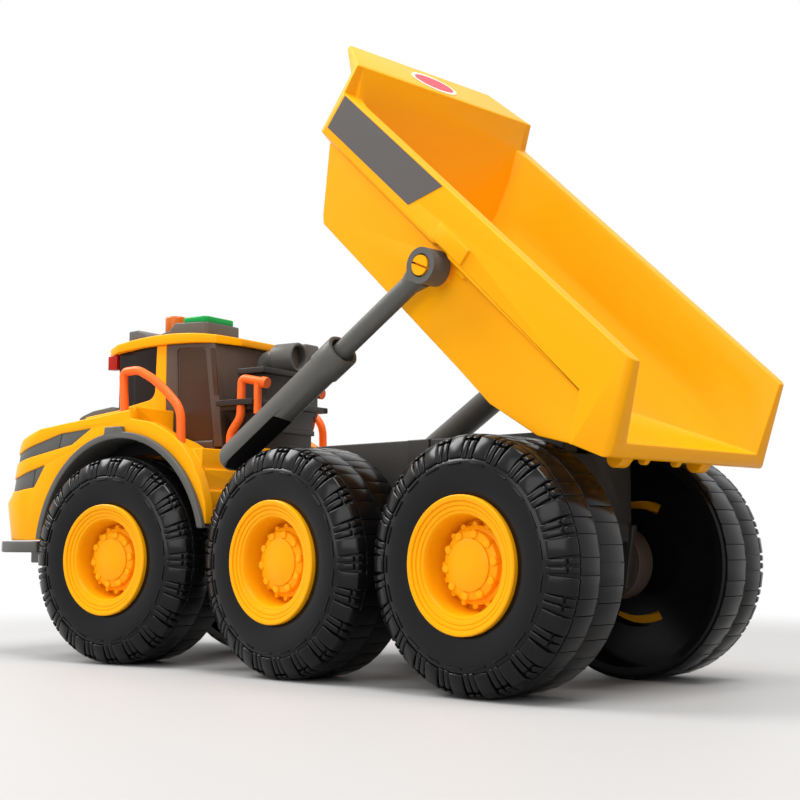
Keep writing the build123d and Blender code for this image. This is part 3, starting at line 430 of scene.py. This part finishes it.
OVAL_AT = (120.0, 1.8)        # forwards of the hinge, and from the middle
OVAL_TILT = 1.4               # degrees by which the canopy lip rises forwards
OVALS = {                     # long radius, short radius, height above the hinge
    "oval_label_edge": (10.0, 5.5, 47.2),
    "oval_label_middle": (8.7, 4.2, 47.26),
}


def side_label():
    """Blank grey label on the band, drawn along and up the band from its rear end."""
    outline = [
        (LABEL_FRONT, LABEL_LOW), (LABEL_FRONT, LABEL_TOP),
        (LABEL_TOP_REAR, LABEL_TOP), (LABEL_LOW_REAR, LABEL_LOW),
    ]
    label = slab("side_label", outline, -LABEL_HALF_THICK, LABEL_HALF_THICK)
    rear, half = RAIL_REAR
    place = Matrix.Translation((rear * MM, -half * MM, 0)) @ Matrix.Rotation(-radians(RAIL_SPLAY), 4, "Z")
    label.data.transform(place @ UPRIGHT)
    return label


def oval_label(name, long_radius, short_radius, height):
    """Blank oval label on the canopy lip."""
    deselect()
    bpy.ops.mesh.primitive_cylinder_add(vertices=72, radius=1, depth=2 * LABEL_HALF_THICK * MM,
                                        location=(0, 0, 0))
    label = bpy.context.object
    label.name = name
    label.data.transform(Matrix.Diagonal((short_radius * MM, long_radius * MM, 1, 1)))
    forwards, aside = OVAL_AT
    place = Matrix.Translation((forwards * MM, aside * MM, height * MM))
    label.data.transform(place @ Matrix.Rotation(-radians(OVAL_TILT), 4, "Y"))
    return label


def labels():
    """Side labels and the oval label with its rim, moved onto the tipped bed."""
    right = side_label()
    left = copied(right, "side_label_l", MIRROR)
    right.name = "side_label_r"
    edge, middle = (oval_label(name, *sizes) for name, sizes in OVALS.items())
    for label, finish in ((left, LABEL_GREY), (right, LABEL_GREY), (edge, LABEL_WHITE), (middle, LABEL_RED)):
        label.data.transform(BED_TIP)
        dress(label, finish, "yellow_plastic", "bed")


labels()


# ---------------------------------------------------------------- front unit
FRONT_RAIL = [                # (forwards of the steering pin, height) of the front handrail, millimetres
    (25.2, 83.0), (26.1, 99.6), (19.2, 99.9), (12.2, 96.4), (6.3, 91.9), (1.0, 86.9), (-0.5, 83.6),
    (-0.8, 72.0),
]
FRONT_RAIL_OUT = 40.6         # from the centre plane
REAR_RAILS = {                # foot and grip from the centre plane, and how far back the grip reaches
    "l": (22.3, 22.3, -21.8),
    "r": (-20.6, -18.4, -15.4),
}
GRIP_RADIUS = 1.5
LEG_RADIUS = 1.35
CAP_RADIUS = 1.9

WALKWAY_EDGE = 17.6           # what lies further out than this on the right is drawn in
WALKWAY_DRAWN_IN = 3.7

AXLE_HEIGHT = 35.0
ARCH_X = 24.2                 # middle of the front wheel arch
ARCH_OUTER = (37.6, 41.6)     # half length and height of the lining's outer edge
ARCH_INNER = (35.9, 36.4)
ARCH_FACES = (29.9, 30.9)     # from the centre plane

DOOR = [(19.6, 109.2), (7.3, 108.6), (3.0, 76.7), (18.2, 76.7)]
BEHIND_DOOR = [(4.6, 108.8), (2.4, 108.8), (0.6, 92.0), (2.6, 92.0)]
PANES = {                     # outline, inner and outer face from the centre plane, corner radius
    "door": (DOOR, 18.9, 19.35, 1.7),
    "rear": (BEHIND_DOOR, 19.7, 20.12, 0.6),
}

INTAKE_Y = -2.0
INTAKE_HEIGHT = 106.3
DRUM_MOUTH_X = -17.6
HOUSING = [(-17.4, -15.0), (-17.4, -7.0), (-9.0, -7.0), (-9.0, -15.0)]
HOUSING_HEIGHTS = (101.0, 112.0)
NECK_RADIUS = 3.6

NUBS = [(14.4, 75.3), (3.2, 69.6)]    # (x, z) of the pips on a flare
NUB_OUT = 44.3
NUB_RADIUS = 0.8


def tube(name, points, radius, corner):
    """Round bar along the points, its corners rounded."""
    piece = chain(name, points)
    bpy.ops.mesh.select_all(action="SELECT")
    bpy.ops.mesh.bevel(offset=corner * MM, segments=8, affect="VERTICES", clamp_overlap=True)
    leave_edit()
    choose(piece)
    bpy.ops.object.convert(target="CURVE")
    piece = bpy.context.object
    piece.data.bevel_depth = radius * MM
    piece.data.bevel_resolution = 6
    piece.data.use_fill_caps = True
    bpy.ops.object.convert(target="MESH")
    return smooth(bpy.context.object)


def side_piece(name, outline, near, far):
    """Side outline of (x, z) made solid between two distances from the centre plane."""
    piece = slab(name, outline, -far, -near)
    piece.data.transform(UPRIGHT)
    return piece


def front_piece(piece, finish, slot, *nodes):
    """Puts a piece drawn about the steering pin, front unit straight, where it stands."""
    piece.data.transform(FRONT)
    return dress(piece, finish, slot, "front_unit", *nodes)


def handrails():
    """Front handrails, mirrored, and the rear ones, each made of a grip, a leg and a round cap."""
    bar = [(x, FRONT_RAIL_OUT, z) for x, z in FRONT_RAIL]
    rail = tube("front_handrail_l", bar, GRIP_RADIUS, 3.3)
    twin = copied(rail, "front_handrail_r", MIRROR)
    front_piece(rail, ORANGE, "rail_orange", "handrail_front_l")
    front_piece(twin, ORANGE, "rail_orange", "handrail_front_r")
    for side, (foot, out, reach) in REAR_RAILS.items():
        grip = tube(f"grip_{side}", [
            (-6.9, foot, 73.5), (-6.9, foot, 78.0), (-11.3, out, 83.4), (-11.7, out, 96.9),
            (reach, out, 94.9),
        ], GRIP_RADIUS, 1.7)
        leg = tube(f"leg_{side}", [(reach + 3.2, out, 84.4), (reach + 3.2, out, 95.0)], LEG_RADIUS, 0.1)
        cap = tube(f"end_{side}", [(reach + 1.2, out, 95.1), (reach - 1.0, out, 94.6)], CAP_RADIUS, 0.1)
        round_edges(cap, 0.6, 3)
        rail = join(f"rear_handrail_{side}", [grip, leg, cap])
        front_piece(rail, ORANGE, "rail_orange", f"handrail_rear_{side}")


def narrow_walkway():
    """Draws the right walkway in beside its handrail."""
    deck = bpy.data.objects["rear_deck_moulding"]
    back = FRONT.inverted()
    for vertex in deck.data.vertices:
        place = back @ vertex.co
        if place.y < -WALKWAY_EDGE * MM:
            place.y += WALKWAY_DRAWN_IN * MM
            vertex.co = FRONT @ place


def arch(turns, half_length, height):
    """Points over the front wheel at the given turns from the forward direction."""
    return [(ARCH_X + half_length * cos(turn), AXLE_HEIGHT + height * sin(turn)) for turn in turns]


def arch_lining():
    """Ring in painted-shade black that closes the wheel arch behind the flare, clear of the tyre."""
    turns = [pi * i / 40 for i in range(-2, 43)]
    ring = arch(turns, *ARCH_OUTER) + arch(turns[::-1], *ARCH_INNER)
    left = side_piece("arch_lining_l", ring, *ARCH_FACES)
    right = copied(left, "arch_lining_r", MIRROR)
    for piece in (left, right):
        # The lining's black is painted shade.
        front_piece(piece, SHADOW_BLACK, "dark_grey_plastic")


def door_panes():
    """Brown pane set in each door, and the narrow one behind it; their brown is partly painted reflection."""
    for kind, (outline, near, far, corner) in PANES.items():
        left = side_piece(f"{kind}_pane_l", outline, near, far)
        round_some_edges(left, lambda first, second: abs(first.y - second.y) > 0.2 * MM, corner)
        smooth(left)
        right = copied(left, f"{kind}_pane_r", MIRROR)
        for piece in (left, right):
            front_piece(piece, PANE_BROWN_AND_REFLECTION, "dark_grey_plastic")


def air_intake():
    """Short drum with an open mouth, a filter housing beside it and a bent neck between them."""
    mouth = [(0.0, 2.4), (4.1, 2.4), (4.1, 0.0), (4.5, -0.4), (5.1, -0.4), (5.4, 0.0), (5.4, 8.8), (0.0, 8.8)]
    drum = turned("drum", mouth, 48)
    place = Matrix.Translation((DRUM_MOUTH_X * MM, INTAKE_Y * MM, INTAKE_HEIGHT * MM))
    drum.data.transform(place @ Matrix.Rotation(-pi / 2, 4, "Z"))
    smooth(drum)
    housing = round_edges(slab("housing", HOUSING, *HOUSING_HEIGHTS), 0.9, 3)
    neck = tube("neck", [
        (-9.0, INTAKE_Y, INTAKE_HEIGHT), (-5.0, INTAKE_Y, INTAKE_HEIGHT), (-2.2, INTAKE_Y, 104.5),
        (-2.2, INTAKE_Y, 101.5),
    ], NECK_RADIUS, 1.5)
    front_piece(join("air_intake", [drum, smooth(housing), neck]), GREY, "dark_grey_plastic", "air_cleaner")


def flare_nubs():
    """Two small pips on top of each flare's rear half."""
    for number, (x, z) in enumerate(NUBS):
        for side, out in (("l", NUB_OUT), ("r", -NUB_OUT)):
            deselect()
            bpy.ops.mesh.primitive_uv_sphere_add(segments=20, ring_count=12, radius=NUB_RADIUS * MM)
            nub = bpy.context.object
            nub.name = f"flare_nub_{number}_{side}"
            nub.data.transform(Matrix.Translation((x * MM, out * MM, z * MM)))
            front_piece(smooth(nub, 60), GREY, "dark_grey_plastic")


# ---------------------------------------------------------------- hoist cylinders
BARREL_LEAN = 59.08           # degrees from upright at which the barrels lie, bed tipped
FLAT_TURN = {"l": -13, "r": 13}       # degrees by which the flat turns about the barrel, towards the middle
SHADE_SHEET_AT = -3.16             # middle of the black sheet of painted shade, from the barrel's axis
SHADE_SHEET_HALF_THICK = 0.12
BARREL_OUTLINE = [            # (radius, height above the foot pin)
    (0.0, -4.8), (1.25, -4.63), (2.4, -4.16), (3.4, -3.4), (4.16, -2.4), (4.63, -1.25), (4.8, 0.0),
    (4.8, 47.7), (5.3, 48.3), (5.3, 57.0), (5.05, 57.3), (4.1, 57.3), (4.1, 54.3), (3.2, 54.3), (3.2, 10.0),
    (0.0, 10.0),
]
FLAT_OUTLINE = [(-10, -6), (-3.1, -6), (-3.1, 25.4), (-4.8, 27.6), (-10, 27.6)]
SHADE_SHEET_OUTLINE = [(-2.3, -2.6), (2.3, -2.6), (3.4, 0.6), (3.6, 3.4), (3.6, 29.0), (-3.6, 25.2), (-3.4, 0.6)]


def barrels():
    """Round-footed barrels with a collared mouth; a black sheet of painted shade lies on the flat on the
    underside.
    """
    for side, turn in FLAT_TURN.items():
        shell = turned(f"hoist_barrel_{side}", BARREL_OUTLINE, 48)
        shell.data.transform(UPRIGHT)
        # Thin black sheet on the flat: painted shade for the flat, which faces down into shade.
        shade_sheet = slab(f"barrel_painted_shade_{side}", SHADE_SHEET_OUTLINE, -SHADE_SHEET_HALF_THICK, SHADE_SHEET_HALF_THICK)
        shade_sheet.data.transform(Matrix.Rotation(pi / 2, 4, "Z") @ UPRIGHT)
        shade_sheet.data.transform(Matrix.Translation((SHADE_SHEET_AT * MM, 0, 0)))
        cutter = slab("flat_cutter", FLAT_OUTLINE, -10, 10)
        cutter.data.transform(UPRIGHT)
        for piece in (shade_sheet, cutter):
            piece.data.transform(Matrix.Rotation(radians(turn), 4, "Z"))
        cut(shell, cutter)
        smooth(shell)
        foot = Matrix.Translation(JOINTS[f"barrel_{side}_swing"]["pos_m"])
        for piece in (shell, shade_sheet):
            piece.data.transform(foot @ Matrix.Rotation(-radians(BARREL_LEAN), 4, "Y"))
        dress(shell, GREY, "dark_grey_plastic", f"barrel_{side}", f"barrel_{side}")
        dress(shade_sheet, SHADOW_BLACK, "dark_grey_plastic", f"barrel_{side}")


handrails()
narrow_walkway()
arch_lining()
door_panes()
air_intake()
flare_nubs()
barrels()


# ---------------------------------------------------------------- tyres
def plate_row(low, high, shift):
    """One wide and one narrow flat plate between two distances from the middle."""
    outline = [(33.6, low), (TREAD_TOP, low), (TREAD_TOP, high), (33.6, high)]
    pitch = 2 * pi / LUG_GROUPS
    row = []
    plates = (("wide_plate", WIDE_PLATE_HALF, shift), ("narrow_plate", NARROW_PLATE_HALF, shift - 0.5))
    for name, half, turn in plates:
        plate = slab(name, outline, -half, half)
        plate.data.transform(Matrix.Rotation(pitch * turn, 4, "Y"))
        row.append(plate)
    return row


def lug_group():
    """One repeat of the tread: a wide shoulder block, two split bars, a ridge, and flat tread plates."""
    edge = TREAD_OUTER
    block = [  # (radius, y)
        (34.2, edge - 3.2), (34.95, edge - 2.2), (34.3, edge + 0.2), (31.8, edge + 1.85), (29.2, edge + 2.75),
        (28.4, edge + 2.9), (28.2, edge + 1.6), (31.0, edge + 0.4),
    ]
    short = [
        (34.2, edge - 2.8), (34.95, edge - 2.0), (34.3, edge + 0.2), (33.6, edge + 0.85), (33.2, edge - 0.6),
    ]
    long = [
        (33.2, edge + 0.2), (32.95, edge + 1.2), (31.0, edge + 2.1), (28.6, edge + 2.9), (28.0, edge + 2.9),
        (28.0, edge + 1.6), (31.0, edge + 0.2),
    ]
    ridge = [(26.5, edge + 2.5), (26.7, edge + 3.3), (27.1, edge + 3.3), (27.3, edge + 2.5)]
    blocks = [slab("wide_block", block, -BLOCK_HALF, BLOCK_HALF)]
    for along in BAR_PLACES:
        for name, outline in (("short_bar", short), ("long_bar", long)):
            bar = slab(name, outline, -BAR_HALF, BAR_HALF)
            bar.data.transform(Matrix.Rotation(-along / TREAD_TOP, 4, "Y"))
            blocks.append(bar)
    shoulder = round_edges(join("shoulder", blocks), 0.42, 3)
    flats = [slab("ridge", ridge, -RIDGE_HALF, RIDGE_HALF)]
    flats += plate_row(TREAD_INNER + 0.6, TREAD_MIDDLE - PLATE_GAP, ROW_SHIFT)
    flats += plate_row(TREAD_MIDDLE + PLATE_GAP, edge - 2.7, 0.0)
    return join("lug_group", [shoulder, round_edges(join("flats", flats), 0.12, 2)])


def lugged_tyre():
    """Carcass with two arc slots through its inner wall, a mould seam round the tread, and the lugs."""
    edge = TREAD_OUTER
    carcass = [  # (radius, y)
        (4.45, WEB), (31.4, WEB), (31.4, TREAD_INNER), (33.6, TREAD_INNER), (34.1, TREAD_INNER + 0.5),
        (TREAD_BASE, TREAD_INNER + 1.4), (TREAD_BASE, edge - 2.4), (33.6, edge - 0.9),
        (32.4, edge + 0.1), (30.6, edge + 1.1), (28.9, edge + 1.9), (28.0, edge + 2.6), (27.0, edge + 2.95),
        (25.0, edge + 3.1), (22.4, edge + 3.0), (20.2, edge + 2.6), (18.65, edge + 2.1),
        (18.65, SEAT), (4.45, SEAT),
    ]
    body = turned("carcass", carcass, 126)
    slot = [(16.2, WEB - 1), (19.6, WEB - 1), (19.6, WEB + 3.6), (16.2, WEB + 3.6)]
    for middle in SLOT_MIDDLES:
        cutter = turned("slot_cutter", slot, 16, radians(SLOT_WIDTH))
        cutter.data.transform(Matrix.Rotation(radians(middle + SLOT_WIDTH / 2), 4, "Y"))
        cut(body, cutter)
    smooth(body, 35)
    seam = turned("mould_seam", [
        (34.5, TREAD_MIDDLE - 0.3), (35.0, TREAD_MIDDLE - 0.12), (35.0, TREAD_MIDDLE + 0.12),
        (34.5, TREAD_MIDDLE + 0.3),
    ], 126)
    lugs = around(lug_group(), LUG_GROUPS)
    for lug in lugs:
        smooth(lug, 30)
    return join("lugged_tyre", [body, seam] + lugs)


# ---------------------------------------------------------------- rims
def round_head(name, sides, radius, length, out, y, edge, segments):
    """Short pin along Y with rounded ends, its middle at a radius from the axle."""
    deselect()
    bpy.ops.mesh.primitive_cylinder_add(vertices=sides, radius=radius * MM, depth=length * MM,
                                        rotation=(pi / 2, 0, 0), location=(out * MM, y * MM, 0))
    head = bpy.context.object
    bpy.ops.object.transform_apply(location=True, rotation=True)
    head.name = name
    return smooth(round_edges(head, edge, segments))


def dished_rim():
    """Stepped rim with a hub cap, a ring of bolts round the hub and a ring of studs on the flange."""
    profile = [  # (radius, y)
        (2.05, WEB), (2.05, LIP - 5.5), (0.0, LIP - 5.5), (0.0, LIP - 3.8), (6.75, LIP - 3.8),
        (7.0, LIP - 4.0), (7.05, LIP - 4.5), (8.6, LIP - 4.75), (9.1, LIP - 5.0), (9.3, LIP - 5.5),
        (9.35, LIP - 6.6),
        (10.3, LIP - 6.8), (10.6, LIP - 7.1), (10.7, LIP - 9.4), (12.0, LIP - 9.4),
        (13.1, LIP - 3.2), (13.4, LIP - 1.9), (13.7, LIP - 1.45), (14.5, LIP - 1.35), (14.65, LIP - 0.95),
        (15.5, LIP - 0.85), (15.62, LIP - 1.0), (15.78, LIP - 1.0), (15.9, LIP - 0.6), (16.7, LIP - 0.5),
        (16.82, LIP - 0.65), (17.0, LIP - 0.65), (17.12, LIP - 0.15), (17.8, LIP), (18.3, LIP),
        (18.6, LIP - 0.3),
        (18.6, SEAT), (15.8, SEAT), (15.8, LIP - 11.6), (4.4, LIP - 11.6), (4.4, WEB),
    ]
    rim = smooth(turned("dish", profile, 96))
    bolt = round_head("hub_bolt", 20, 1.22, 2.6, 8.3, LIP - 5.4, 0.4, 3)
    stud = round_head("flange_stud", 14, 0.85, 2.8, 10.8, LIP - 8.2, 0.2, 2)
    return join("dished_rim", [rim] + around(bolt, HUB_BOLTS, 0.2) + around(stud, FLANGE_STUDS))


def wheel_places():
    """Where each wheel sits: its joint's place, and Y along the joint's axis, mirrored on the right side."""
    for joint in frame["joints"]:
        if joint["name"].startswith("wheel_"):
            _, station, side, _ = joint["name"].split("_")
            across = Vector(joint["axis"]).normalized()
            if across.y < 0:
                across.negate()
            turn = Vector((0, 1, 0)).rotation_difference(across).to_matrix().to_4x4()
            flip = MIRROR if side == "r" else Matrix.Identity(4)
            yield f"{station}_{side}", joint["child"], Matrix.Translation(joint["pos_m"]) @ turn @ flip


def wheels():
    """A copy of the tyre and of the rim at each wheel's place."""
    tyre = lugged_tyre()
    rim = dished_rim()
    for place, body, matrix in wheel_places():
        dress(copied(tyre, f"lugged_tyre_{place}", matrix), *finish_of("tyre"), body, f"tyre_{place}")
        dress(copied(rim, f"dished_rim_{place}", matrix), *finish_of("rim"), body, f"rim_{place}")
    bpy.data.objects.remove(tyre)
    bpy.data.objects.remove(rim)


wheels()


# ---------------------------------------------------------------- stage, metres
FLOOR_COLOUR = "B1B0AF"
FLOOR_SIZE = 30.0
FADE_FROM, FADE_TO = 0.23, 0.42       # distances from the middle between which the floor turns white
ROOM_STRENGTH = 0.34          # light that the white room gives
WHITE = (1, 1, 1, 1)
LIGHTS = {                    # place, aim, watts and edge length of each soft lamp
    "key_softbox": ((0.8, 0.4, 1.0), (0, 0, 0.06), 14, 0.6),
    "fill_softbox": ((-0.25, 1.0, 0.5), (0, 0, 0.06), 5.5, 0.8),
    "top_softbox": ((-0.35, 0.05, 1.05), (0, 0, 0.08), 11, 0.6),
}


def add_light(name, place, aim, energy, size):
    """Square soft lamp turned towards its aim."""
    data = bpy.data.lights.new(name, "AREA")
    data.energy = energy
    data.size = size
    lamp = bpy.data.objects.new(name, data)
    bpy.context.scene.collection.objects.link(lamp)
    lamp.location = Vector(place)
    lamp.rotation_euler = (Vector(aim) - Vector(place)).to_track_quat("-Z", "Y").to_euler()


def rays_that_see_white(tree):
    """1 for rays that see the white background: from the camera, mirrored, or through clear parts."""
    ray = add_node(tree, "ShaderNodeLightPath")
    bounced = add_node(tree, "ShaderNodeMath", {"operation": "MAXIMUM"},
                       {0: ray.outputs["Is Glossy Ray"], 1: ray.outputs["Is Transmission Ray"]})
    seen = add_node(tree, "ShaderNodeMath", {"operation": "MAXIMUM"},
                    {0: ray.outputs["Is Camera Ray"], 1: bounced.outputs["Value"]})
    return seen.outputs["Value"]


def pale_floor():
    """Floor that keeps the shadow near the toy and turns into the white backdrop further away."""
    deselect()
    bpy.ops.mesh.primitive_plane_add(size=FLOOR_SIZE, location=(0, 0, 0))
    floor = bpy.context.object
    floor.name = "studio_floor"
    material = bpy.data.materials.new("pale_floor")
    material.use_nodes = True
    tree = material.node_tree
    shader = tree.nodes["Principled BSDF"]
    shader.inputs["Base Color"].default_value = linear(FLOOR_COLOUR)
    shader.inputs["Roughness"].default_value = 0.6
    place = add_node(tree, "ShaderNodeTexCoord")
    reach = add_node(tree, "ShaderNodeVectorMath", {"operation": "LENGTH"}, {0: place.outputs["Object"]})
    fade = add_node(tree, "ShaderNodeMapRange",
                    {"From Min": FADE_FROM, "From Max": FADE_TO, "interpolation_type": "SMOOTHSTEP"},
                    {"Value": reach.outputs["Value"]})
    both = add_node(tree, "ShaderNodeMath", {"operation": "MULTIPLY"},
                    {0: fade.outputs["Result"], 1: rays_that_see_white(tree)})
    white = add_node(tree, "ShaderNodeEmission", {"Color": WHITE, "Strength": 1.0})
    blend = add_node(tree, "ShaderNodeMixShader", {},
                     {"Fac": both.outputs["Value"], 1: shader.outputs["BSDF"], 2: white.outputs["Emission"]})
    tree.links.new(blend.outputs["Shader"], tree.nodes["Material Output"].inputs["Surface"])
    floor.data.materials.append(material)


def white_room():
    """White where it is seen, and a weaker, even light on the toy."""
    world = bpy.data.worlds.new("studio")
    bpy.context.scene.world = world
    world.use_nodes = True
    tree = world.node_tree
    light = tree.nodes["Background"]
    light.inputs["Color"].default_value = WHITE
    light.inputs["Strength"].default_value = ROOM_STRENGTH
    backdrop = add_node(tree, "ShaderNodeBackground", {"Color": WHITE, "Strength": 1.0})
    mix = add_node(tree, "ShaderNodeMixShader", {},
                   {"Fac": rays_that_see_white(tree), 1: light.outputs["Background"],
                    2: backdrop.outputs["Background"]})
    tree.links.new(mix.outputs["Shader"], tree.nodes["World Output"].inputs["Surface"])


def studio():
    """Floor, room and lamps, and colours shown as they are."""
    pale_floor()
    white_room()
    for name, settings in LIGHTS.items():
        add_light(name, *settings)
    bpy.context.scene.view_settings.view_transform = "Standard"


def camera():
    """Low view from behind and to the left."""
    data = bpy.data.cameras.new("camera")
    data.lens = LENS_MM
    data.sensor_width = SENSOR_MM
    data.clip_start = 0.01
    viewer = bpy.data.objects.new("camera", data)
    bpy.context.scene.collection.objects.link(viewer)
    viewer.location = Vector(CAMERA_AT) * MM
    viewer.rotation_euler = ((Vector(CAMERA_TO) - Vector(CAMERA_AT)) * MM).to_track_quat("-Z", "Y").to_euler()
    bpy.context.scene.camera = viewer


studio()
camera()
